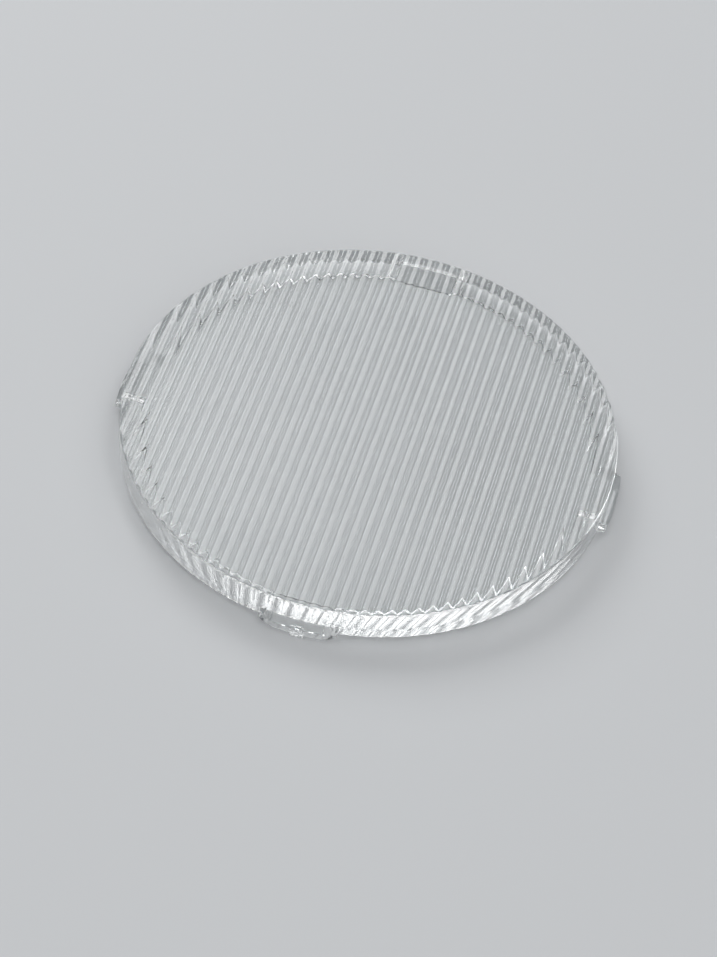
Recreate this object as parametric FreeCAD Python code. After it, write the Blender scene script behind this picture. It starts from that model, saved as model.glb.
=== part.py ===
import FreeCAD, Part
import math
import os

V = FreeCAD.Vector

# Clear one-piece lens for a light fitting: a thick round disc with straight ribs across its
# top, a rim round a raised boss on its underside, and four snap clips that it stands on.
# All sizes are in millimetres and degrees. The origin is on the disc's axis at the clips'
# feet, +Z is up and the ribs run along Y.

# Disc
RIM_DIAMETER = 70.0
DISC_THICKNESS = 4.65
TOP_EDGE_ROUND = 0.5
TOP_EDGE_LIFT = 0.02
PARTING_HEIGHT = 1.3
UPPER_DRAFT = 0.5
LOWER_DRAFT = 4.0

# Boss on the underside
BOSS_DIAMETER = 64.1
BOSS_DEPTH = 0.76
BOSS_DRAFT = 8.0
BOSS_CHAMFER = 0.2

# Ribs across the top
RIB_PITCH = 1.685
RIB_HEIGHT = 0.195
RIB_OFFSET = 0.35
ROUND_SPLIT = 1.1

# Snap clips under the rim
CLIP_COUNT = 4
CLIP_LENGTH = 11.0
CLIP_FOOT_LENGTH = 6.4
CLIP_NOSE_REACH = 1.0
CLIP_NOSE_BELOW_PARTING = 0.6
CLIP_SHOULDER_BELOW_PARTING = 0.55
CLIP_LEAD_IN = 0.45
CLIP_END_BULGE = 0.3
CLIP_BOSS_LAP = 0.35
FOOT_CLEARANCE = 0.28

# Broken gate stub on the front clip
GATE_WIDTH = 1.85
GATE_HEIGHT = 2.0
GATE_STUB = 0.15
GATE_LEAN = 0.2
GATE_ROUGHNESS = 0.12

# Heights and radii that follow from the sizes above
rim_radius = RIM_DIAMETER / 2
boss_radius = BOSS_DIAMETER / 2
foot_z = 0.0
boss_z = foot_z + FOOT_CLEARANCE
underside_z = boss_z + BOSS_DEPTH
parting_z = underside_z + PARTING_HEIGHT
crest_z = underside_z + DISC_THICKNESS
valley_z = crest_z - RIB_HEIGHT
nose_z = parting_z - CLIP_NOSE_BELOW_PARTING
shoulder_z = parting_z - CLIP_SHOULDER_BELOW_PARTING
nose_radius = rim_radius + CLIP_NOSE_REACH
foot_radius = nose_radius - CLIP_LEAD_IN
clip_inner = boss_radius - CLIP_BOSS_LAP


def slope(rise, degrees):
    """Sideways step of a drafted wall over a rise."""
    return rise * math.tan(math.radians(degrees))


def line(a, b):
    """Straight edge."""
    return Part.LineSegment(a, b).toShape()


def arc(a, b, c):
    """Circular edge from a through b to c."""
    return Part.Arc(a, b, c).toShape()


def corner_arc(centre, radius, start, end):
    """Circular edge in the XZ plane between two angles in degrees about a centre."""
    points = []
    for angle in (start, (start + end) / 2, end):
        turn = math.radians(angle)
        points.append(centre + V(radius * math.cos(turn), 0, radius * math.sin(turn)))
    return arc(*points)


def valley_angle():
    """Angle on the top edge round, in degrees, just below the level of the ribs' valleys."""
    depth = RIB_HEIGHT * ROUND_SPLIT + TOP_EDGE_LIFT
    return math.degrees(math.asin(1 - min(depth / TOP_EDGE_ROUND, 1)))


def revolved(edges):
    """Solid of revolution about Z from a closed half section in the XZ plane."""
    face = Part.Face(Part.Wire(edges))
    return face.revolve(V(0, 0, 0), V(0, 0, 1), 360)


def disc_blank():
    """Disc before ribbing: boss, rim underside, wall with a draft change, rounded top edge.

    The top edge is one round, drawn as two arcs that meet below the ribs' valleys. It rises a
    little above the crests, so that each crest ends in a clean edge.
    """
    top_z = crest_z + TOP_EDGE_LIFT
    boss_low = V(boss_radius - BOSS_CHAMFER, 0, boss_z)
    boss_edge = V(boss_radius, 0, boss_z + BOSS_CHAMFER)
    boss_up = V(boss_radius + slope(BOSS_DEPTH - BOSS_CHAMFER, BOSS_DRAFT), 0, underside_z)
    rim_low = V(rim_radius - slope(PARTING_HEIGHT, LOWER_DRAFT), 0, underside_z)
    rim_up = rim_radius - slope(DISC_THICKNESS - PARTING_HEIGHT, UPPER_DRAFT)
    centre = V(rim_up - TOP_EDGE_ROUND, 0, top_z - TOP_EDGE_ROUND)
    middle = valley_angle()
    low_round = corner_arc(centre, TOP_EDGE_ROUND, -UPPER_DRAFT, middle)
    high_round = corner_arc(centre, TOP_EDGE_ROUND, middle, 90)
    side = [V(0, 0, boss_z), boss_low, boss_edge, boss_up, rim_low]
    side += [V(rim_radius, 0, parting_z), low_round.Vertexes[0].Point]
    top = [V(centre.x, 0, top_z), V(0, 0, top_z), V(0, 0, boss_z)]
    edges = [line(a, b) for a, b in zip(side, side[1:])]
    edges += [low_round, high_round]
    edges += [line(a, b) for a, b in zip(top, top[1:])]
    return revolved(edges)


def rib_edges(left):
    """One rib from valley to valley: a hollow half, a tangent crest and a hollow half."""
    quarter = RIB_PITCH / 4
    tilt = 2 * math.atan(RIB_HEIGHT / (RIB_PITCH / 2))
    radius = quarter / math.sin(tilt)
    middle_z = valley_z + RIB_HEIGHT / 2
    bend_x = radius * math.sin(tilt / 2)
    bend_z = valley_z + radius * (1 - math.cos(tilt / 2))
    start = V(left, 0, valley_z)
    rise = V(left + quarter, 0, middle_z)
    crest = V(left + RIB_PITCH / 2, 0, crest_z)
    fall = V(left + RIB_PITCH - quarter, 0, middle_z)
    end = V(left + RIB_PITCH, 0, valley_z)
    edges = [arc(start, V(left + bend_x, 0, bend_z), rise), arc(rise, crest, fall)]
    edges.append(arc(fall, V(left + RIB_PITCH - bend_x, 0, bend_z), end))
    return edges


def rib_slab():
    """Block under the ribbed top surface, wider than the disc on every side."""
    ribs_each_side = math.ceil((rim_radius + RIB_PITCH) / RIB_PITCH)
    count = 2 * ribs_each_side + 1
    first = RIB_OFFSET - (ribs_each_side + 0.5) * RIB_PITCH
    last = first + count * RIB_PITCH
    low = foot_z
    edges = []
    for index in range(count):
        edges += rib_edges(first + index * RIB_PITCH)
    edges.append(line(V(last, 0, valley_z), V(last, 0, low)))
    edges.append(line(V(last, 0, low), V(first, 0, low)))
    edges.append(line(V(first, 0, low), V(first, 0, valley_z)))
    face = Part.Face(Part.Wire(edges))
    face.translate(V(0, -RIM_DIAMETER, 0))
    return face.extrude(V(0, 2 * RIM_DIAMETER, 0))


def clip_section():
    """Round solid with the clips' cross section outside: foot, lead-in, nose, catch face."""
    points = [V(0, 0, foot_z), V(foot_radius, 0, foot_z), V(nose_radius, 0, nose_z)]
    points += [V(rim_radius, 0, parting_z), V(0, 0, parting_z)]
    edges = [line(a, b) for a, b in zip(points, points[1:] + points[:1])]
    return revolved(edges)


def clip_outline():
    """Block towards +X with the clip's outline: straight shoulders, round-cornered ends."""
    half = CLIP_LENGTH / 2
    foot = CLIP_FOOT_LENGTH / 2
    chord = V(0, half - foot, shoulder_z - foot_z)
    out = V(0, chord.z, -chord.y) / chord.Length * CLIP_END_BULGE
    middle = V(0, (half + foot) / 2, (shoulder_z + foot_z) / 2) + out
    right = [V(0, foot, foot_z), middle, V(0, half, shoulder_z), V(0, half, parting_z)]
    left = [V(0, -p.y, p.z) for p in right]
    edges = [arc(*right[:3]), line(right[2], right[3]), line(right[3], left[3])]
    edges += [line(left[3], left[2]), arc(left[2], left[1], left[0]), line(left[0], right[0])]
    face = Part.Face(Part.Wire(edges))
    face.translate(V(clip_inner, 0, 0))
    return face.extrude(V(nose_radius, 0, 0))


def clips():
    """All snap clips, equally spaced round the rim."""
    one = clip_section().common(clip_outline())
    shapes = []
    for index in range(CLIP_COUNT):
        copy = one.copy()
        copy.rotate(V(0, 0, 0), V(0, 0, 1), index * 360.0 / CLIP_COUNT)
        shapes.append(copy)
    return shapes


def gate_outline(z, lean):
    """Uneven outline of the broken gate at a height, its face drawn in by a lean."""
    half = GATE_WIDTH / 2
    back = -(foot_radius - CLIP_NOSE_REACH)
    face = lean - (nose_radius + GATE_STUB)
    rough = GATE_ROUGHNESS
    points = [V(-half, back, z), V(-half, face + rough, z), V(-half / 3, face, z)]
    points += [V(half / 2, face + rough / 2, z), V(half, face + 2 * rough, z), V(half, back, z)]
    return Part.makePolygon(points + points[:1])


def gate_stub():
    """Stub left where the gate broke off the clip towards -Y: it leans in as it rises."""
    outlines = [gate_outline(foot_z, 0), gate_outline(foot_z + GATE_HEIGHT, GATE_LEAN)]
    return Part.makeLoft(outlines, True, True)


def ribbed_lens():
    """The whole moulding as one solid."""
    disc = disc_blank().common(rib_slab())
    solid = disc.fuse(clips() + [gate_stub()])
    return solid.removeSplitter()


def main():
    os.makedirs("parts", exist_ok=True)
    shape = ribbed_lens()
    shape.exportStep("parts/ribbed_lens.step")
    box = shape.BoundBox
    print("solids", len(shape.Solids), "valid", shape.isValid(), "volume mm3", round(shape.Volume, 1))
    print("size", round(box.XLength, 3), round(box.YLength, 3), round(box.ZLength, 3))


main()
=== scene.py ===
"""Looks of a clear ribbed lens for an LED light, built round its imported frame.

The lens is one clear acrylic moulding: a round disc with straight ribs across its top, a boss
underneath, four snap clips that it stands on, and the stub of the gate on the front clip. Its mesh
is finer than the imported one, and every face corner keeps the exact normal of the surface that it
belongs to, so that light bends through it as it does through a polished moulding. Sizes are in
millimetres and degrees, and lamps stand in metres.
"""
import logging
import math
from dataclasses import dataclass, field
from enum import Enum, IntEnum

import bpy
import numpy as np
from mathutils import Matrix, Vector


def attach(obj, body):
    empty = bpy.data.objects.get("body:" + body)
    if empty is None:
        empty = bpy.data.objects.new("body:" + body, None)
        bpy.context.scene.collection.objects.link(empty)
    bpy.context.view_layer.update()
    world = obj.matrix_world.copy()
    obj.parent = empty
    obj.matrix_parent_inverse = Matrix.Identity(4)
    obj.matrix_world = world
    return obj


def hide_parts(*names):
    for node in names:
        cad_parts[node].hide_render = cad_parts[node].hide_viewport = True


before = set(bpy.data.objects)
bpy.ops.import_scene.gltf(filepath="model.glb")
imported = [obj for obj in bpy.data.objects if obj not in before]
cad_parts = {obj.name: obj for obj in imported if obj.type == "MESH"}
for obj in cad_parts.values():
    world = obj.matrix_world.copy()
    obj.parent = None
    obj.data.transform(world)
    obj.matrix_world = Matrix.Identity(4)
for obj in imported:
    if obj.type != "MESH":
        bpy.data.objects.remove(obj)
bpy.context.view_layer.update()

LOG = logging.getLogger("ribbed_lens")
MM = 0.001
NODE = "ribbed_lens"
BODY = "root"
PHOTO_LONG_SIDE_PX = 957
SENSOR_MM = 36.0
PMMA_IOR = 1.49


class Face(IntEnum):
    """Which surface of the moulding a mesh face belongs to."""

    RIBS = 0
    TOP_ROUND = 1
    UPPER_WALL = 2
    LOWER_WALL = 3
    UNDERSIDE = 4
    BOSS_SIDE = 5
    BOSS_CHAMFER = 6
    CLIP_LEAD_IN = 7
    CLIP_CATCH = 8
    CLIP_END = 9
    FLAT = 10
    BROKEN = 11


class ClipSide(Enum):
    """The four sides of the rim that carry a clip, as turns about the axis in degrees."""

    RIGHT = 0.0
    BACK = 90.0
    LEFT = 180.0
    FRONT = 270.0


class MixInput(IntEnum):
    """Inputs of a Mix node. They share their names, so they are told apart by number."""

    FACTOR = 0
    NUMBER_A = 2
    NUMBER_B = 3
    COLOUR_A = 6
    COLOUR_B = 7


class MixOutput(IntEnum):
    """Outputs of a Mix node, by number."""

    NUMBER = 0
    COLOUR = 2


def linear(value: str) -> tuple[float, float, float, float]:
    """Turn an sRGB hex colour into a linear one.

    Args:
        value: Colour as six hex digits, with or without a leading hash.

    Returns:
        Linear red, green, blue and an alpha of one.
    """
    digits = value.lstrip("#")
    channels = [int(digits[i : i + 2], 16) / 255 for i in (0, 2, 4)]
    low = [c / 12.92 if c <= 0.04045 else ((c + 0.055) / 1.055) ** 2.4 for c in channels]
    return (low[0], low[1], low[2], 1.0)


def drafted(rise: float, draft: float) -> float:
    """Sideways step of a wall that leans by a draft in degrees over a rise."""
    return rise * math.tan(math.radians(draft))


def read_all(items: bpy.types.bpy_prop_collection, name: str, width: int, kind: type) -> np.ndarray:
    """Read one property of every vertex, corner or face of a mesh.

    Args:
        items: The mesh's vertices, loops or polygons.
        name: Name of the property.
        width: How many numbers one item has.
        kind: Type of the numbers.

    Returns:
        One line an item, or a plain row where the width is one.
    """
    values = np.zeros(len(items) * width, dtype=kind)
    items.foreach_get(name, values)
    return values.reshape(-1, width) if width > 1 else values


@dataclass(frozen=True)
class LensSizes:
    """Sizes of the moulding in millimetres and degrees, with the clips' feet at height zero."""

    rim_radius: float = 35.0
    disc_thickness: float = 4.65
    top_edge_round: float = 0.5
    top_edge_lift: float = 0.02
    parting_height: float = 1.3
    upper_draft: float = 0.5
    lower_draft: float = 4.0
    boss_radius: float = 32.05
    boss_depth: float = 0.76
    boss_draft: float = 8.0
    boss_chamfer: float = 0.2
    rib_pitch: float = 1.685
    rib_height: float = 0.195
    rib_offset: float = 0.35
    clip_length: float = 11.0
    clip_foot_length: float = 6.4
    clip_nose_reach: float = 1.0
    clip_nose_below_parting: float = 0.6
    clip_shoulder_below_parting: float = 0.55
    clip_lead_in: float = 0.45
    clip_end_bulge: float = 0.3
    clip_boss_lap: float = 0.35
    foot_clearance: float = 0.28
    gate_width: float = 1.85
    gate_height: float = 2.0
    gate_stub: float = 0.15
    gate_lean: float = 0.2

    @property
    def underside_z(self) -> float:
        """Height of the rim's underside."""
        return self.foot_clearance + self.boss_depth

    @property
    def parting_z(self) -> float:
        """Height of the draft change on the wall."""
        return self.underside_z + self.parting_height

    @property
    def crest_z(self) -> float:
        """Height of the rib crests."""
        return self.underside_z + self.disc_thickness

    @property
    def valley_z(self) -> float:
        """Height of the valleys between the ribs."""
        return self.crest_z - self.rib_height

    @property
    def round_centre_r(self) -> float:
        """Radius of the circle that the top edge round turns about."""
        lean = drafted(self.disc_thickness - self.parting_height, self.upper_draft)
        return self.rim_radius - lean - self.top_edge_round

    @property
    def round_centre_z(self) -> float:
        """Height of the circle that the top edge round turns about."""
        return self.crest_z + self.top_edge_lift - self.top_edge_round

    @property
    def nose_z(self) -> float:
        """Height of the clips' noses."""
        return self.parting_z - self.clip_nose_below_parting

    @property
    def shoulder_z(self) -> float:
        """Height at which the clips' bevelled ends turn upright."""
        return self.parting_z - self.clip_shoulder_below_parting

    @property
    def nose_radius(self) -> float:
        """Reach of the clips' noses from the axis."""
        return self.rim_radius + self.clip_nose_reach


@dataclass(frozen=True)
class Ribs:
    """Cross section of the ribs: round crests and round valleys that meet at a tangent.

    The root cap is the most that is taken off a squared radius under a root, as a share of it, so
    that places outside an arc give no error. Their result isn't used.
    """

    sizes: LensSizes
    root_cap: float = 0.9

    @property
    def tilt(self) -> float:
        """Steepest slope, where a crest meets a valley, in radians."""
        return 2 * math.atan(self.sizes.rib_height / (self.sizes.rib_pitch / 2))

    @property
    def radius(self) -> float:
        """Radius of crests and valleys."""
        return self.sizes.rib_pitch / 4 / math.sin(self.tilt)

    def _from_crest(self, x: np.ndarray) -> tuple[np.ndarray, np.ndarray, np.ndarray]:
        """Find where places lie within their rib.

        Args:
            x: Places across the ribs.

        Returns:
            Signed distance from the nearest crest, distance from the nearest valley, and whether
            the place is on the crest's arc.
        """
        pitch = self.sizes.rib_pitch
        across = (x - self.sizes.rib_offset + pitch / 2) % pitch - pitch / 2
        to_valley = pitch / 2 - np.abs(across)
        return across, to_valley, np.abs(across) <= pitch / 4

    def height(self, x: np.ndarray) -> np.ndarray:
        """Find the height of the ribbed surface.

        Args:
            x: Places across the ribs.

        Returns:
            The height at each place.
        """
        across, to_valley, on_crest = self._from_crest(x)
        r = self.radius
        crest = self.sizes.crest_z - (r - np.sqrt(np.maximum(r * r - across**2, 0)))
        valley = self.sizes.valley_z + (r - np.sqrt(np.maximum(r * r - to_valley**2, 0)))
        return np.where(on_crest, crest, valley)

    def slope(self, x: np.ndarray) -> np.ndarray:
        """Find the slope of the ribbed surface.

        Args:
            x: Places across the ribs.

        Returns:
            The slope across the ribs at each place.
        """
        across, to_valley, on_crest = self._from_crest(x)
        square = self.radius * self.radius
        most = self.root_cap * square
        crest = -across / np.sqrt(square - np.minimum(across**2, most))
        valley = -np.sign(across) * to_valley / np.sqrt(square - np.minimum(to_valley**2, most))
        return np.where(on_crest, crest, valley)

    def edge_radius(self, x: np.ndarray) -> np.ndarray:
        """Find where the ribbed surface runs out into the top edge round.

        Args:
            x: Places across the ribs.

        Returns:
            The radius of the edge at each place.
        """
        depth = self.sizes.crest_z + self.sizes.top_edge_lift - self.height(x)
        edge = self.sizes.top_edge_round
        return self.sizes.round_centre_r + np.sqrt(np.maximum(2 * edge * depth - depth**2, 0))


@dataclass
class MeshDraft:
    """Points and faces being collected, each face with the surface that it belongs to."""

    points: list[tuple[float, float, float]] = field(default_factory=list)
    faces: list[tuple[int, ...]] = field(default_factory=list)
    kinds: list[int] = field(default_factory=list)

    def add_row(self, row: np.ndarray) -> list[int]:
        """Add a row of points.

        Args:
            row: One point a line, in millimetres.

        Returns:
            The new points' indices.
        """
        first = len(self.points)
        self.points += [tuple(p) for p in row]
        return list(range(first, len(self.points)))

    def add_face(self, corners: list[int], kind: Face) -> None:
        """Add one face, with its corners anticlockwise seen from outside."""
        self.faces.append(tuple(corners))
        self.kinds.append(int(kind))

    def bridge(self, low: list[int], high: list[int], kind: Face, closed: bool = True) -> None:
        """Join two rows of equal length with four-sided faces.

        Args:
            low: Row that the faces start from, anticlockwise seen from outside.
            high: Row above it.
            kind: Surface of the new faces.
            closed: Whether the rows' ends meet.
        """
        count = len(low)
        for i in range(count if closed else count - 1):
            j = (i + 1) % count
            self.add_face([low[i], low[j], high[j], high[i]], kind)

    def to_object(self, name: str) -> bpy.types.Object:
        """Make the object in metres, with each face's surface as its material index.

        Args:
            name: Name of the object and its mesh.

        Returns:
            The linked object.
        """
        mesh = bpy.data.meshes.new(name)
        mesh.from_pydata([tuple(c * MM for c in p) for p in self.points], [], self.faces)
        for _ in Face:
            mesh.materials.append(None)
        mesh.polygons.foreach_set("material_index", self.kinds)
        mesh.update()
        obj = bpy.data.objects.new(name, mesh)
        bpy.context.scene.collection.objects.link(obj)
        return obj


@dataclass
class RibbedDisc:
    """The disc: ribbed top, rounded edge, drafted wall, rim underside and boss.

    Points lie at even steps across each rib, and near the disc's left and right ends also at even
    turns about the axis, so that the rim stays round there. A point that would lie closer to the
    last one than a share of the step is left out.
    """

    sizes: LensSizes
    steps_per_rib: int = 16
    spare_steps: int = 4
    closest_share: float = 1 / 8
    end_step_deg: float = 0.5
    end_reach_deg: float = 20.0
    end_halvings: int = 60
    round_steps: int = 6

    def build(self) -> bpy.types.Object:
        """Make the disc, still apart from the clips."""
        return self._draft().to_object("disc")

    def _end(self, ribs: Ribs, side: float) -> float:
        """Find where the ribbed surface ends, by halving the stretch that holds the place.

        Args:
            ribs: The ribs' cross section.
            side: Minus one for the left end and one for the right.

        Returns:
            The place across the ribs.
        """
        low, high = self.sizes.round_centre_r - self.sizes.rib_pitch, self.sizes.rim_radius
        for _ in range(self.end_halvings):
            middle = (low + high) / 2
            inside = ribs.edge_radius(np.array([side * middle]))[0] > middle
            low, high = (middle, high) if inside else (low, middle)
        return side * low

    def _places(self, ribs: Ribs) -> np.ndarray:
        """Choose the places across the ribs that get points.

        Args:
            ribs: The ribs' cross section.

        Returns:
            The places from left to right.
        """
        left, right = self._end(ribs, -1.0), self._end(ribs, 1.0)
        step = self.sizes.rib_pitch / self.steps_per_rib
        count = math.ceil(self.sizes.rim_radius / step) + self.spare_steps
        even = self.sizes.rib_offset + step * np.arange(-count, count + 1)
        angles = np.radians(np.arange(0, self.end_reach_deg, self.end_step_deg))
        places = np.concatenate([even, right * np.cos(angles), left * np.cos(angles)])
        places = np.sort(places[(places >= left) & (places <= right)])
        gap = step * self.closest_share
        kept = [left]
        for place in places:
            if place - kept[-1] > gap and right - place > gap:
                kept.append(place)
        return np.array(kept + [right])

    @staticmethod
    def _circle(turn: np.ndarray, radius: np.ndarray | float, height: np.ndarray | float) -> np.ndarray:
        """Points at turns about the axis, with one radius and height for all or one for each."""
        return np.column_stack([radius * np.cos(turn), radius * np.sin(turn), height + np.zeros_like(turn)])

    def _ribbed_top(self, mesh: MeshDraft) -> list[int]:
        """Add the ribbed top as strips that run along the ribs.

        Args:
            mesh: Draft that takes the points and faces.

        Returns:
            The edge's points in one ring, anticlockwise from the right end.
        """
        ribs = Ribs(self.sizes)
        x = self._places(ribs)
        z = ribs.height(x)
        r = ribs.edge_radius(x)
        y = np.sqrt(np.maximum(r * r - x * x, 0))
        y[0] = y[-1] = 0
        back = mesh.add_row(np.column_stack([x, y, z])[::-1])
        front = mesh.add_row(np.column_stack([x, -y, z])[1:-1])
        upper = back[::-1]
        lower = [upper[0]] + front + [upper[-1]]
        for i in range(len(x) - 1):
            corners = [lower[i], lower[i + 1], upper[i + 1], upper[i]]
            mesh.add_face(list(dict.fromkeys(corners)), Face.RIBS)
        return back + front

    def _top_round(self, mesh: MeshDraft, ring: list[int], turn: np.ndarray) -> list[int]:
        """Add the top edge round, which starts higher at a crest than at a valley.

        Args:
            mesh: Draft that takes the points and faces.
            ring: The ribbed top's edge.
            turn: Turn of each point of the ring about the axis, in radians.

        Returns:
            The round's lower edge.
        """
        s = self.sizes
        edge = np.array([mesh.points[i] for i in ring])
        reach = np.hypot(edge[:, 0], edge[:, 1]) - s.round_centre_r
        start = np.arctan2(edge[:, 2] - s.round_centre_z, reach)
        low = -math.radians(s.upper_draft)
        above = ring
        for step in range(1, self.round_steps + 1):
            angle = start + (low - start) * step / self.round_steps
            radius = s.round_centre_r + s.top_edge_round * np.cos(angle)
            height = s.round_centre_z + s.top_edge_round * np.sin(angle)
            row = mesh.add_row(self._circle(turn, radius, height))
            mesh.bridge(row, above, Face.TOP_ROUND)
            above = row
        return above

    def _walls(self, mesh: MeshDraft, above: list[int], turn: np.ndarray) -> list[int]:
        """Add the drafted wall, the rim's underside and the boss's side.

        Args:
            mesh: Draft that takes the points and faces.
            above: The top edge round's lower edge.
            turn: Turn of each point about the axis, in radians.

        Returns:
            The boss's lower edge.
        """
        s = self.sizes
        rim_low = s.rim_radius - drafted(s.parting_height, s.lower_draft)
        boss_up = s.boss_radius + drafted(s.boss_depth - s.boss_chamfer, s.boss_draft)
        levels = [
            (s.rim_radius, s.parting_z, Face.UPPER_WALL),
            (rim_low, s.underside_z, Face.LOWER_WALL),
            (boss_up, s.underside_z, Face.UNDERSIDE),
            (s.boss_radius, s.foot_clearance + s.boss_chamfer, Face.BOSS_SIDE),
            (s.boss_radius - s.boss_chamfer, s.foot_clearance, Face.BOSS_CHAMFER),
        ]
        for radius, height, kind in levels:
            row = mesh.add_row(self._circle(turn, radius, height))
            mesh.bridge(row, above, kind)
            above = row
        return above

    def _draft(self) -> MeshDraft:
        """Collect the disc's closed mesh, from the ribs down to the boss's flat face.

        Returns:
            The points and faces.
        """
        mesh = MeshDraft()
        ring = self._ribbed_top(mesh)
        edge = np.array([mesh.points[i] for i in ring])
        turn = np.arctan2(edge[:, 1], edge[:, 0])
        edge_row = self._walls(mesh, self._top_round(mesh, ring, turn), turn)
        centre = mesh.add_row(np.array([[0.0, 0.0, self.sizes.foot_clearance]]))[0]
        for i in range(len(edge_row)):
            mesh.add_face([edge_row[(i + 1) % len(edge_row)], edge_row[i], centre], Face.UNDERSIDE)
        return mesh


@dataclass
class SnapClip:
    """One snap clip: foot, lead-in slope, nose, catch slope and bevelled ends.

    The clip is drawn towards +X and then turned to its side. It reaches a little up into the
    disc, so that the two unite cleanly.
    """

    sizes: LensSizes
    side: ClipSide = ClipSide.RIGHT
    columns: int = 28
    end_steps: int = 10
    top_lap: float = 0.15
    level_tolerance: float = 1e-4

    def build(self) -> bpy.types.Object:
        """Make the clip on its side of the rim.

        Returns:
            The linked object.
        """
        clip = self._draft().to_object(f"clip_{self.side.name.lower()}")
        clip.data.transform(Matrix.Rotation(math.radians(self.side.value), 4, "Z"))
        return clip

    def _end_arc(self) -> tuple[float, float, float]:
        """Find the arc that bevels the clip's end.

        Returns:
            Its centre along the rim and up, and its radius.
        """
        s = self.sizes
        foot = np.array([s.clip_foot_length / 2, 0.0])
        shoulder = np.array([s.clip_length / 2, s.shoulder_z])
        chord = shoulder - foot
        length = float(np.hypot(*chord))
        radius = (length / 2) ** 2 / (2 * s.clip_end_bulge) + s.clip_end_bulge / 2
        inward = np.array([-chord[1], chord[0]]) / length
        centre = (foot + shoulder) / 2 + inward * (radius - s.clip_end_bulge)
        return float(centre[0]), float(centre[1]), radius

    def _half_length(self, z: float) -> float:
        """Find half of the clip's length.

        Args:
            z: Height above the foot.

        Returns:
            Half of the length at that height.
        """
        if z >= self.sizes.shoulder_z:
            return self.sizes.clip_length / 2
        along, up, radius = self._end_arc()
        return along + math.sqrt(radius**2 - (z - up) ** 2)

    def _outer_radius(self, z: float) -> float:
        """Find how far the clip's outer face stands from the axis.

        Args:
            z: Height above the foot.

        Returns:
            The radius at that height.
        """
        s = self.sizes
        if z <= s.nose_z:
            return s.nose_radius - s.clip_lead_in * (1 - z / s.nose_z)
        return s.nose_radius - s.clip_nose_reach * (z - s.nose_z) / s.clip_nose_below_parting

    def end_normal(self, y: np.ndarray, z: np.ndarray) -> np.ndarray:
        """Find the normals of the bevelled ends, in the frame of the clip towards +X.

        Args:
            y: Places along the rim.
            z: Heights above the foot.

        Returns:
            One vector a line, not yet of unit length.
        """
        along, up, _ = self._end_arc()
        out = np.column_stack([np.zeros_like(y), np.abs(y) - along, z - up])
        out[z > self.sizes.shoulder_z - self.level_tolerance] = (0, 1, 0)
        out[:, 1] *= np.sign(y)
        return out

    def _rows(self, mesh: MeshDraft, levels: list[float]) -> tuple[list[list[int]], list[list[int]]]:
        """Add the points of the clip's outer and inner face.

        Args:
            mesh: Draft that takes the points.
            levels: Heights from the foot up.

        Returns:
            The outer rows and the inner rows, one a level.
        """
        inner = self.sizes.boss_radius - self.sizes.clip_boss_lap
        across = np.linspace(-1, 1, self.columns + 1)
        outer_rows, inner_rows = [], []
        for z in levels:
            y = across * self._half_length(z)
            x = np.sqrt(self._outer_radius(z) ** 2 - y * y)
            height = np.full_like(y, z)
            outer_rows.append(mesh.add_row(np.column_stack([x, y, height])))
            inner_rows.append(mesh.add_row(np.column_stack([np.full_like(y, inner), y, height])))
        return outer_rows, inner_rows

    def _draft(self) -> MeshDraft:
        """Collect the closed mesh of the clip towards +X.

        Returns:
            The points and faces.
        """
        s, mesh = self.sizes, MeshDraft()
        levels = sorted(set(np.linspace(0, s.shoulder_z, self.end_steps + 1)) | {s.nose_z})
        levels.append(s.parting_z + self.top_lap)
        outer_rows, inner_rows = self._rows(mesh, levels)
        for j, z in enumerate(levels[:-1]):
            low, high = outer_rows[j], outer_rows[j + 1]
            back_low, back_high = inner_rows[j], inner_rows[j + 1]
            kind = Face.CLIP_LEAD_IN if z < s.nose_z else Face.CLIP_CATCH
            mesh.bridge(low, high, kind, closed=False)
            mesh.bridge(back_high, back_low, Face.FLAT, closed=False)
            mesh.add_face([low[-1], back_low[-1], back_high[-1], high[-1]], Face.CLIP_END)
            mesh.add_face([back_low[0], low[0], high[0], back_high[0]], Face.CLIP_END)
        mesh.bridge(inner_rows[0], outer_rows[0], Face.FLAT, closed=False)
        mesh.bridge(outer_rows[-1], inner_rows[-1], Face.FLAT, closed=False)
        return mesh


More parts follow.
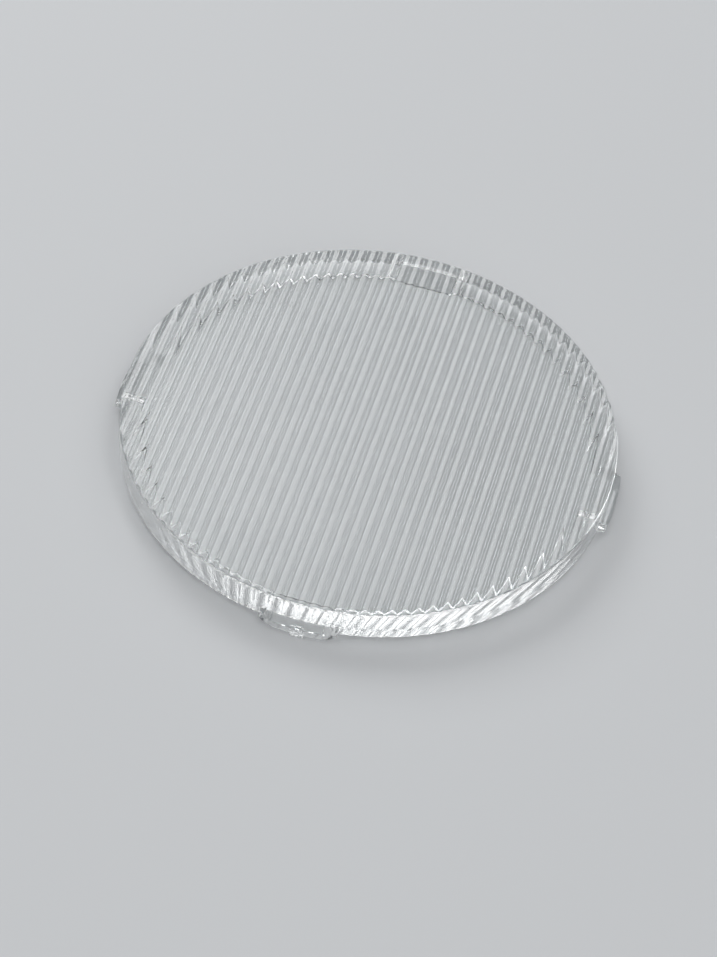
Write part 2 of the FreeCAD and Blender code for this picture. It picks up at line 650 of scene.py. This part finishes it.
@dataclass
class GateStub:
    """Stub where the gate broke off the front clip. Its broken face is all small chips.

    The chips are cut into the face, never out of it: coarse ones that each cover a few points,
    with fine ones on them.
    """

    sizes: LensSizes
    columns: int = 15
    rows: int = 17
    chip_depth: float = 0.3
    points_per_chip: int = 3
    coarse_share: float = 0.65
    seed: int = 7

    def build(self) -> bpy.types.Object:
        """Make the stub, already in its place."""
        return self._draft().to_object("gate_stub")

    def _chips(self) -> np.ndarray:
        """Draw the depth of the broken face.

        Returns:
            The depth at each point, a line for each row from the foot up.
        """
        rng = np.random.default_rng(self.seed)
        coarse_rows, coarse_columns = (round(n / self.points_per_chip) for n in (self.rows, self.columns))
        coarse = rng.random((coarse_rows, coarse_columns))
        up = np.linspace(0, coarse_rows - 1, self.rows).round().astype(int)
        across = np.linspace(0, coarse_columns - 1, self.columns).round().astype(int)
        fine = rng.random((self.rows, self.columns))
        share = self.coarse_share
        return self.chip_depth * (share * coarse[np.ix_(up, across)] + (1 - share) * fine)

    def _rows_of_points(self, mesh: MeshDraft) -> tuple[list[list[int]], list[list[int]]]:
        """Add the points of the broken face and of the back, which is inside the clip.

        Args:
            mesh: Draft that takes the points.

        Returns:
            The front rows and the back rows, from the foot up.
        """
        s = self.sizes
        face_y = -(s.nose_radius + s.gate_stub)
        back_y = -(s.nose_radius - s.clip_lead_in - s.clip_nose_reach)
        chips = self._chips()
        x = np.linspace(-s.gate_width / 2, s.gate_width / 2, self.columns)
        front_rows, back_rows = [], []
        for j, z in enumerate(np.linspace(0.0, s.gate_height, self.rows)):
            y = face_y + s.gate_lean * z / s.gate_height + chips[j]
            height = np.full_like(x, z)
            front_rows.append(mesh.add_row(np.column_stack([x, y, height])))
            back_rows.append(mesh.add_row(np.column_stack([x, np.full_like(x, back_y), height])))
        return front_rows, back_rows

    def _draft(self) -> MeshDraft:
        """Collect the stub's closed mesh.

        Returns:
            The points and faces.
        """
        mesh = MeshDraft()
        front_rows, back_rows = self._rows_of_points(mesh)
        for j in range(self.rows - 1):
            low, high = front_rows[j], front_rows[j + 1]
            back_low, back_high = back_rows[j], back_rows[j + 1]
            for i in range(self.columns - 1):
                mesh.add_face([low[i], low[i + 1], high[i + 1]], Face.BROKEN)
                mesh.add_face([low[i], high[i + 1], high[i]], Face.BROKEN)
            mesh.bridge(back_high, back_low, Face.FLAT, closed=False)
            mesh.add_face([low[-1], back_low[-1], back_high[-1], high[-1]], Face.BROKEN)
            mesh.add_face([back_low[0], low[0], high[0], back_high[0]], Face.BROKEN)
        mesh.bridge(back_rows[0], front_rows[0], Face.FLAT, closed=False)
        mesh.bridge(front_rows[-1], back_rows[-1], Face.BROKEN, closed=False)
        return mesh


def add_node(
    tree: bpy.types.NodeTree,
    kind: str,
    settings: dict[str | int, object] | None = None,
    links: dict[str | int, bpy.types.NodeSocket] | None = None,
) -> bpy.types.Node:
    """Add one node with its settings and links.

    Args:
        tree: Node tree that takes the node.
        kind: Blender's name of the node type.
        settings: Value of each attribute, by its name, and of each input, by its name or number.
            An attribute's name starts with a small letter and an input's with a capital.
        links: Output socket that feeds each input, by the input's name or number.

    Returns:
        The new node.
    """
    node = tree.nodes.new(kind)
    for name, value in (settings or {}).items():
        if isinstance(name, str) and name[0].islower():
            setattr(node, name, value)
        else:
            node.inputs[name].default_value = value
    for name, socket in (links or {}).items():
        tree.links.new(socket, node.inputs[name])
    return node


def new_material(name: str) -> tuple[bpy.types.Material, bpy.types.NodeTree]:
    """Make a material with no nodes yet.

    Args:
        name: Name of the material.

    Returns:
        The material and its node tree.
    """
    material = bpy.data.materials.new(name)
    material.use_nodes = True
    material.node_tree.nodes.clear()
    return material, material.node_tree


@dataclass(frozen=True)
class ClearAcrylic:
    """Clear acrylic (PMMA) from a polished injection mould, with a little dust and rub on it."""

    # Water clear with a polished skin: the eye gets sharp bright lines on the ribs, and the floor
    # bent into stripes under them. The base colour only takes the faintest warmth away.
    name: str = "moulded_clear_pmma"
    colour: str = "#FBFDFD"
    ior: float = PMMA_IOR
    polish: float = 0.012
    # Handling has rubbed patches about as wide as a fingertip, where the lines turn softer.
    rub: float = 0.10
    rub_mm: float = 9.0
    rub_detail: float = 4.0
    rub_from: float = 0.55
    rub_full: float = 0.85
    # Dust lies as small dull specks. Real dust is finer than a pixel of the photograph, so a
    # speck is drawn up to 0.16 mm in radius, about two pixels across. Over the pale floor it
    # still shows only faintly.
    dust_colour: str = "#8E8D88"
    dust_rough: float = 0.6
    dust_apart_mm: float = 2.0
    dust_radius_mm: float = 0.16
    dust_core: float = 0.6

    def _rubbed(self, tree: bpy.types.NodeTree, place: bpy.types.NodeSocket) -> bpy.types.NodeSocket:
        """Add the roughness of the skin, polished with rubbed patches.

        Args:
            tree: The material's node tree.
            place: Output with the place on the lens, in metres.

        Returns:
            The output with the roughness.
        """
        scale = 1 / (self.rub_mm * MM)
        patches = add_node(
            tree, "ShaderNodeTexNoise", {"Scale": scale, "Detail": self.rub_detail}, {"Vector": place}
        )
        limits = {
            "From Min": self.rub_from,
            "From Max": self.rub_full,
            "To Min": self.polish,
            "To Max": self.rub,
        }
        rough = add_node(tree, "ShaderNodeMapRange", limits, {"Value": patches.outputs["Fac"]})
        return rough.outputs["Result"]

    def _dusty(self, tree: bpy.types.NodeTree, place: bpy.types.NodeSocket) -> bpy.types.NodeSocket:
        """Add the dust: one speck about each point of a random pattern.

        Args:
            tree: The material's node tree.
            place: Output with the place on the lens, in metres.

        Returns:
            The output that is one in a speck and zero between specks.
        """
        scale = 1 / (self.dust_apart_mm * MM)
        specks = add_node(
            tree, "ShaderNodeTexVoronoi", {"Scale": scale, "Randomness": 1.0}, {"Vector": place}
        )
        size = self.dust_radius_mm / self.dust_apart_mm
        limits = {"From Min": size * self.dust_core, "From Max": size, "To Min": 1.0, "To Max": 0.0}
        dust = add_node(tree, "ShaderNodeMapRange", limits, {"Value": specks.outputs["Distance"]})
        return dust.outputs["Result"]

    def build(self) -> bpy.types.Material:
        """Make the material.

        Returns:
            A clear material whose roughness grows in rubbed patches, with specks of dust that dim
            and scatter the light.
        """
        material, tree = new_material(self.name)
        place = add_node(tree, "ShaderNodeTexCoord").outputs["Object"]
        rubbed, dusty = self._rubbed(tree, place), self._dusty(tree, place)
        colours = {MixInput.COLOUR_A: linear(self.colour), MixInput.COLOUR_B: linear(self.dust_colour)}
        tint = add_node(tree, "ShaderNodeMix", {"data_type": "RGBA", **colours}, {MixInput.FACTOR: dusty})
        dull = add_node(
            tree,
            "ShaderNodeMix",
            {"data_type": "FLOAT", MixInput.NUMBER_B: self.dust_rough},
            {MixInput.FACTOR: dusty, MixInput.NUMBER_A: rubbed},
        )
        surface = add_node(
            tree,
            "ShaderNodeBsdfPrincipled",
            {"IOR": self.ior, "Transmission Weight": 1.0},
            {"Base Color": tint.outputs[MixOutput.COLOUR], "Roughness": dull.outputs[MixOutput.NUMBER]},
        )
        add_node(tree, "ShaderNodeOutputMaterial", None, {"Surface": surface.outputs["BSDF"]})
        return material


@dataclass(frozen=True)
class BrokenAcrylic:
    """Clear acrylic (PMMA) torn off at the gate."""

    # The torn face is full of fine fractures, so the eye sees a small milky crumb that glints,
    # where the skin beside it is clear.
    name: str = "broken_pmma"
    colour: str = "#F4F6F6"
    ior: float = PMMA_IOR
    roughness: float = 0.16
    transmission: float = 0.86
    # Fractures are as fine as dust, so their grain is drawn coarse enough to show.
    grain_mm: float = 0.22
    grain_detail: float = 3.0
    grain_depth_mm: float = 0.03

    def build(self) -> bpy.types.Material:
        """Make the material.

        Returns:
            A half clear material with a fine broken grain in its bump.
        """
        material, tree = new_material(self.name)
        place = add_node(tree, "ShaderNodeTexCoord").outputs["Object"]
        scale = 1 / (self.grain_mm * MM)
        grain = add_node(
            tree, "ShaderNodeTexNoise", {"Scale": scale, "Detail": self.grain_detail}, {"Vector": place}
        )
        bump = add_node(
            tree,
            "ShaderNodeBump",
            {"Strength": 1.0, "Distance": self.grain_depth_mm * MM},
            {"Height": grain.outputs["Fac"]},
        )
        skin = {
            "Base Color": linear(self.colour),
            "IOR": self.ior,
            "Roughness": self.roughness,
            "Transmission Weight": self.transmission,
        }
        surface = add_node(tree, "ShaderNodeBsdfPrincipled", skin, {"Normal": bump.outputs["Normal"]})
        add_node(tree, "ShaderNodeOutputMaterial", None, {"Surface": surface.outputs["BSDF"]})
        return material


@dataclass
class RibbedLens:
    """The whole moulding: disc, four snap clips and the broken gate stub as one mesh."""

    sizes: LensSizes
    clear: ClearAcrylic = field(default_factory=ClearAcrylic)
    broken: BrokenAcrylic = field(default_factory=BrokenAcrylic)
    name: str = "moulded_lens"
    odd_angle_deg: float = 25.0
    least_radius: float = 1e-9

    def build(self, disc: bpy.types.Object, others: list[bpy.types.Object]) -> bpy.types.Object:
        """Unite the moulding's parts, set every corner's exact normal and dress the result.

        Args:
            disc: The ribbed disc.
            others: Clips and gate stub, each in its place. They and the disc are used up.

        Returns:
            The finished lens.
        """
        mesh = self._unite(disc, others)
        mesh.name = self.name
        lens = bpy.data.objects.new(self.name, mesh)
        bpy.context.scene.collection.objects.link(lens)
        self._set_normals(mesh)
        self._dress(mesh)
        return lens

    def _unite(self, disc: bpy.types.Object, others: list[bpy.types.Object]) -> bpy.types.Mesh:
        """Unite the parts, so that no face is left inside the clear moulding.

        Args:
            disc: The ribbed disc.
            others: Clips and gate stub.

        Returns:
            The united mesh, with each face's surface as its material index.
        """
        group = bpy.data.collections.new("lens_parts")
        for obj in others:
            group.objects.link(obj)
        union = disc.modifiers.new("union", "BOOLEAN")
        union.operation = "UNION"
        union.solver = "EXACT"
        union.operand_type = "COLLECTION"
        union.collection = group
        union.material_mode = "INDEX"
        graph = bpy.context.evaluated_depsgraph_get()
        mesh = bpy.data.meshes.new_from_object(disc.evaluated_get(graph))
        for obj in [disc, *others]:
            bpy.data.objects.remove(obj)
        bpy.data.collections.remove(group)
        return mesh

    def _normals_of(self, kind: int, points: np.ndarray, flat: np.ndarray) -> np.ndarray:
        """Find the exact normals of a surface at points on it.

        Args:
            kind: The surface, as a Face value.
            points: One point a line, in millimetres.
            flat: Each corner's own face normal, used where the surface is flat.

        Returns:
            One vector a line, not yet of unit length.
        """
        s = self.sizes
        x, y, z = points.T
        radius = np.hypot(x, y) + self.least_radius
        out = np.column_stack([x / radius, y / radius, np.zeros_like(x)])
        if kind == Face.RIBS:
            return np.column_stack([-Ribs(s).slope(x), np.zeros_like(x), np.ones_like(x)])
        if kind == Face.TOP_ROUND:
            out *= (radius - s.round_centre_r)[:, None]
            out[:, 2] = z - s.round_centre_z
            return out
        if kind == Face.CLIP_END:
            return self._clip_end_normals(points)
        leans = {
            Face.UPPER_WALL: drafted(1.0, s.upper_draft),
            Face.LOWER_WALL: -drafted(1.0, s.lower_draft),
            Face.BOSS_SIDE: -drafted(1.0, s.boss_draft),
            Face.BOSS_CHAMFER: -1.0,
            Face.CLIP_LEAD_IN: -s.clip_lead_in / s.nose_z,
            Face.CLIP_CATCH: s.clip_nose_reach / s.clip_nose_below_parting,
        }
        if kind in leans:
            out[:, 2] = leans[Face(kind)]
            return out
        return flat

    def _clip_end_normals(self, points: np.ndarray) -> np.ndarray:
        """Find the normals of all clips' bevelled ends, each from its own frame.

        Args:
            points: One point a line, in millimetres.

        Returns:
            One vector a line, not yet of unit length.
        """
        clip = SnapClip(self.sizes)
        result = np.zeros_like(points)
        for side in ClipSide:
            angle = math.radians(side.value)
            ahead = np.array([math.cos(angle), math.sin(angle)])
            left = np.array([-ahead[1], ahead[0]])
            mine = points[:, :2] @ ahead > self.sizes.boss_radius / 2
            local = clip.end_normal(points[:, :2] @ left, points[:, 2])
            world = np.column_stack([local[:, 1:2] * left, local[:, 2]])
            result[mine] = world[mine]
        return result

    def _set_normals(self, mesh: bpy.types.Mesh) -> None:
        """Give every face corner the exact normal of the surface that its face lies on.

        Args:
            mesh: The united mesh, with each face's surface as its material index.
        """
        mesh.polygons.foreach_set("use_smooth", [True] * len(mesh.polygons))
        places = read_all(mesh.vertices, "co", 3, np.float64)
        corners = places[read_all(mesh.loops, "vertex_index", 1, np.int32)] / MM
        totals = read_all(mesh.polygons, "loop_total", 1, np.int32)
        kinds = np.repeat(read_all(mesh.polygons, "material_index", 1, np.int32), totals)
        flat = np.repeat(read_all(mesh.polygons, "normal", 3, np.float64), totals, axis=0)
        normals = flat.copy()
        for kind in Face:
            mine = kinds == kind
            if mine.any():
                normals[mine] = self._normals_of(kind, corners[mine], flat[mine])
        normals /= np.linalg.norm(normals, axis=1)[:, None]
        odd = (normals * flat).sum(axis=1) < math.cos(math.radians(self.odd_angle_deg))
        LOG.info("corners over %g degrees off their face: %d", self.odd_angle_deg, odd.sum())
        mesh.normals_split_custom_set(normals.tolist())

    def _dress(self, mesh: bpy.types.Mesh) -> None:
        """Replace the surface indices with the two finishes.

        Args:
            mesh: The united mesh, with each face's surface as its material index.
        """
        kinds = read_all(mesh.polygons, "material_index", 1, np.int32)
        mesh.materials.clear()
        for finish in (self.clear, self.broken):
            mesh.materials.append(finish.build())
        mesh.polygons.foreach_set("material_index", (kinds == Face.BROKEN).astype(np.int32))
        mesh.update()


@dataclass(frozen=True)
class FloorPaint:
    """Rolled matt paint on the studio floor."""

    # An even pale grey that takes a soft shadow and mirrors nothing, so that only the lens
    # carries bright lines.
    name: str = "matt_floor_paint"
    colour: str = "#C6C8CA"
    roughness: float = 0.6
    specular: float = 0.2

    def build(self) -> bpy.types.Material:
        """Make the material.

        Returns:
            A plain matt material.
        """
        material, tree = new_material(self.name)
        paint = {
            "Base Color": linear(self.colour),
            "Roughness": self.roughness,
            "Specular IOR Level": self.specular,
        }
        surface = add_node(tree, "ShaderNodeBsdfPrincipled", paint)
        add_node(tree, "ShaderNodeOutputMaterial", None, {"Surface": surface.outputs["BSDF"]})
        return material


@dataclass(frozen=True)
class SoftBox:
    """One rectangular studio lamp that faces the lens, in metres and watts.

    Azimuth 0 is behind the lens and 90 to its right.
    """

    name: str
    azimuth: float
    elevation: float
    distance: float
    width: float
    height: float
    power: float

    def build(self) -> bpy.types.Object:
        """Make the lamp.

        Returns:
            The linked lamp.
        """
        data = bpy.data.lights.new(self.name, "AREA")
        data.shape = "RECTANGLE"
        data.size = self.width
        data.size_y = self.height
        data.energy = self.power
        lamp = bpy.data.objects.new(self.name, data)
        turn, rise = math.radians(self.azimuth), math.radians(self.elevation)
        ahead = Vector((math.sin(turn) * math.cos(rise), math.cos(turn) * math.cos(rise), math.sin(rise)))
        lamp.location = ahead * self.distance
        lamp.rotation_euler = (-ahead).to_track_quat("-Z", "Y").to_euler()
        bpy.context.scene.collection.objects.link(lamp)
        return lamp


@dataclass
class Studio:
    """Plain pale floor, pale surroundings and soft lamps.

    The window and the back strip are what the ribs mirror towards the camera. The overhead lamp
    and the fill are large and dim, so that the back of the lens keeps its tone. Seen low from the
    front right, the ribs mirror the window at a flat angle, and most of the lens turns white.
    """

    paint: FloorPaint = field(default_factory=FloorPaint)
    floor_half: float = 4.0
    floor_gap: float = 0.02 * MM
    sky_colour: str = "#F0F1F3"
    horizon_colour: str = "#4A4E52"
    sky_from: float = 0.10
    sky_full: float = 0.55
    world_light: float = 0.32
    light_steps: int = 32
    lamps: tuple[SoftBox, ...] = (
        SoftBox("window", -41.0, 36.0, 0.9, 0.55, 0.50, 3.9),
        SoftBox("back_strip", 27.0, 41.0, 0.9, 0.06, 0.40, 0.4),
        SoftBox("overhead", 150.0, 78.0, 1.2, 1.06, 1.06, 6.6),
        SoftBox("fill", 138.0, 32.0, 1.0, 0.85, 0.80, 1.8),
    )

    def _floor(self) -> bpy.types.Object:
        """Make the floor, a hair below the clips' feet.

        Returns:
            The linked floor.
        """
        mesh = bpy.data.meshes.new("floor")
        half, low = self.floor_half, -self.floor_gap
        corners = [(-half, -half, low), (half, -half, low), (half, half, low), (-half, half, low)]
        mesh.from_pydata(corners, [], [(0, 1, 2, 3)])
        floor = bpy.data.objects.new("floor", mesh)
        bpy.context.scene.collection.objects.link(floor)
        mesh.materials.append(self.paint.build())
        return floor

    def _world(self) -> None:
        """Set surroundings that are pale above and darker low down, so that clear edges show."""
        world = bpy.data.worlds.new("pale_room")
        bpy.context.scene.world = world
        world.use_nodes = True
        tree = world.node_tree
        tree.nodes.clear()
        place = add_node(tree, "ShaderNodeTexCoord").outputs["Generated"]
        parts = add_node(tree, "ShaderNodeSeparateXYZ", None, {"Vector": place})
        limits = {"From Min": self.sky_from, "From Max": self.sky_full}
        rise = add_node(tree, "ShaderNodeMapRange", limits, {"Value": parts.outputs["Z"]})
        colours = {MixInput.COLOUR_A: linear(self.horizon_colour), MixInput.COLOUR_B: linear(self.sky_colour)}
        sky = add_node(
            tree, "ShaderNodeMix", {"data_type": "RGBA", **colours}, {MixInput.FACTOR: rise.outputs["Result"]}
        )
        light = add_node(
            tree,
            "ShaderNodeBackground",
            {"Strength": self.world_light},
            {"Color": sky.outputs[MixOutput.COLOUR]},
        )
        add_node(tree, "ShaderNodeOutputWorld", None, {"Surface": light.outputs["Background"]})

    def build(self) -> list[bpy.types.Object]:
        """Make floor, surroundings and lamps.

        Light that runs inside the disc turns back at its faces many times before it leaves at the
        rim, so it is followed for more steps than is usual.

        Returns:
            The floor and the lamps.
        """
        made = [self._floor()]
        self._world()
        made += [lamp.build() for lamp in self.lamps]
        cycles = bpy.context.scene.cycles
        cycles.max_bounces = self.light_steps
        cycles.transmission_bounces = self.light_steps
        cycles.glossy_bounces = self.light_steps
        return made


@dataclass(frozen=True)
class PhotoCamera:
    """The camera that took the photograph, worked out from the lens's own outline.

    Its focal length is in pixels of the photograph. It circles a point that is given from the
    lens's axis, at the height of the rim's underside.
    """

    focal_px: float = 3095.3
    elevation: float = 47.75
    azimuth: float = 10.25
    roll: float = 6.9
    distance_mm: float = 432.2
    aim_x_mm: float = -0.62
    aim_y_mm: float = -6.61
    nearest_m: float = 0.01

    def build(self, base_mm: float) -> bpy.types.Object:
        """Make the scene's camera.

        Args:
            base_mm: Height that the aim point is measured from, the rim's underside.

        Returns:
            The linked camera.
        """
        rise, lean = math.radians(self.elevation), math.radians(self.roll)
        back = Vector((0.0, -math.cos(rise), math.sin(rise)))
        right = (-back).cross(Vector((0.0, 0.0, 1.0))).normalized()
        up = right.cross(-back)
        tilted_right = right * math.cos(lean) + up * math.sin(lean)
        tilted_up = up * math.cos(lean) - right * math.sin(lean)
        turn = Matrix.Rotation(math.radians(self.azimuth), 3, "Z")
        axes = turn @ Matrix((tilted_right, tilted_up, back)).transposed()
        place = turn @ (Vector((self.aim_x_mm, self.aim_y_mm, 0.0)) + back * self.distance_mm)
        place.z += base_mm
        data = bpy.data.cameras.new("photo_camera")
        data.sensor_width = SENSOR_MM
        data.lens = self.focal_px * SENSOR_MM / PHOTO_LONG_SIDE_PX
        data.clip_start = self.nearest_m
        camera = bpy.data.objects.new("photo_camera", data)
        camera.matrix_world = Matrix.Translation(place * MM) @ axes.to_4x4()
        bpy.context.scene.collection.objects.link(camera)
        bpy.context.scene.camera = camera
        return camera


def main() -> None:
    """Build the lens from its parts, then the studio and the camera."""
    logging.basicConfig(level=logging.INFO, format="%(name)s: %(message)s")
    sizes = LensSizes()
    disc = RibbedDisc(sizes).build()
    clips = [SnapClip(sizes, side).build() for side in ClipSide]
    stub = GateStub(sizes).build()
    for part in [disc, *clips, stub]:
        LOG.info("part of the moulding, %s: %d faces", part.name, len(part.data.polygons))
    lens = RibbedLens(sizes).build(disc, [*clips, stub])
    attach(lens, BODY)
    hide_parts(NODE)
    LOG.info("%s: %d faces", lens.name, len(lens.data.polygons))
    for made in Studio().build():
        LOG.info("studio, %s: %s", made.name, made.type.lower())
    camera = PhotoCamera().build(sizes.underside_z)
    LOG.info("%s: %.1f mm lens", camera.name, camera.data.lens)
    bpy.context.scene.view_settings.view_transform = "Standard"


if __name__ == "__main__":
    main()
